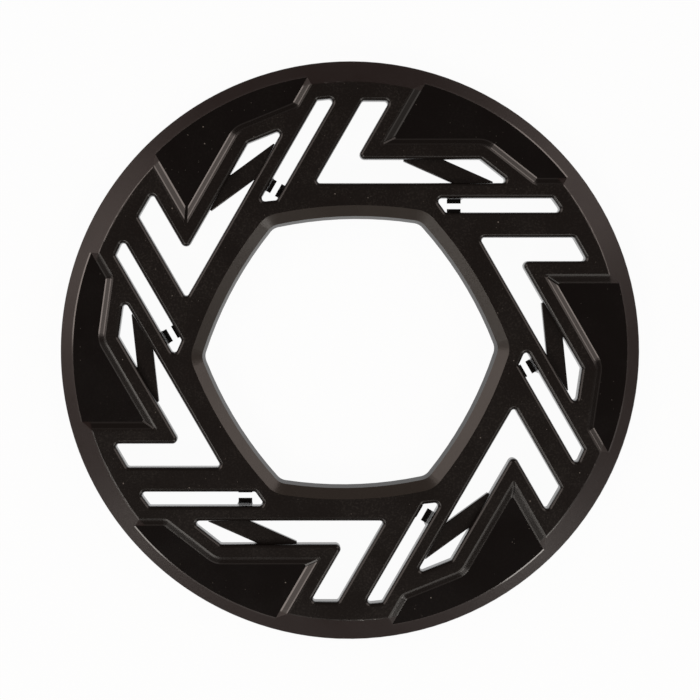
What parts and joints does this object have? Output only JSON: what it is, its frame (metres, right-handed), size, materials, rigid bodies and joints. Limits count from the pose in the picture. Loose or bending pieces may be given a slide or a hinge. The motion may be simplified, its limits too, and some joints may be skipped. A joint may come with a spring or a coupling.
{
  "type": "bicycle chain guard",
  "caption": "Black moulded plastic chain guard ring with a bevelled rim, recessed pads, slots, angled windows and a bowed hexagonal opening, held to a chainring by snap hooks on its back.",
  "frame": {"origin": "on the ring's axis, level with the tips of the hooks, where the guard lies face up", "axes": "+Z along the ring's axis out of the front face, +Y up in the picture, +X to its right"},
  "size_m": [0.15, 0.15, 0.01],
  "materials": {
    "guard_plastic": "satin black moulded plastic with a fine texture"
  },
  "bodies": {
    "root": {"guard_ring": "guard_plastic"}
  },
  "joints": []
}
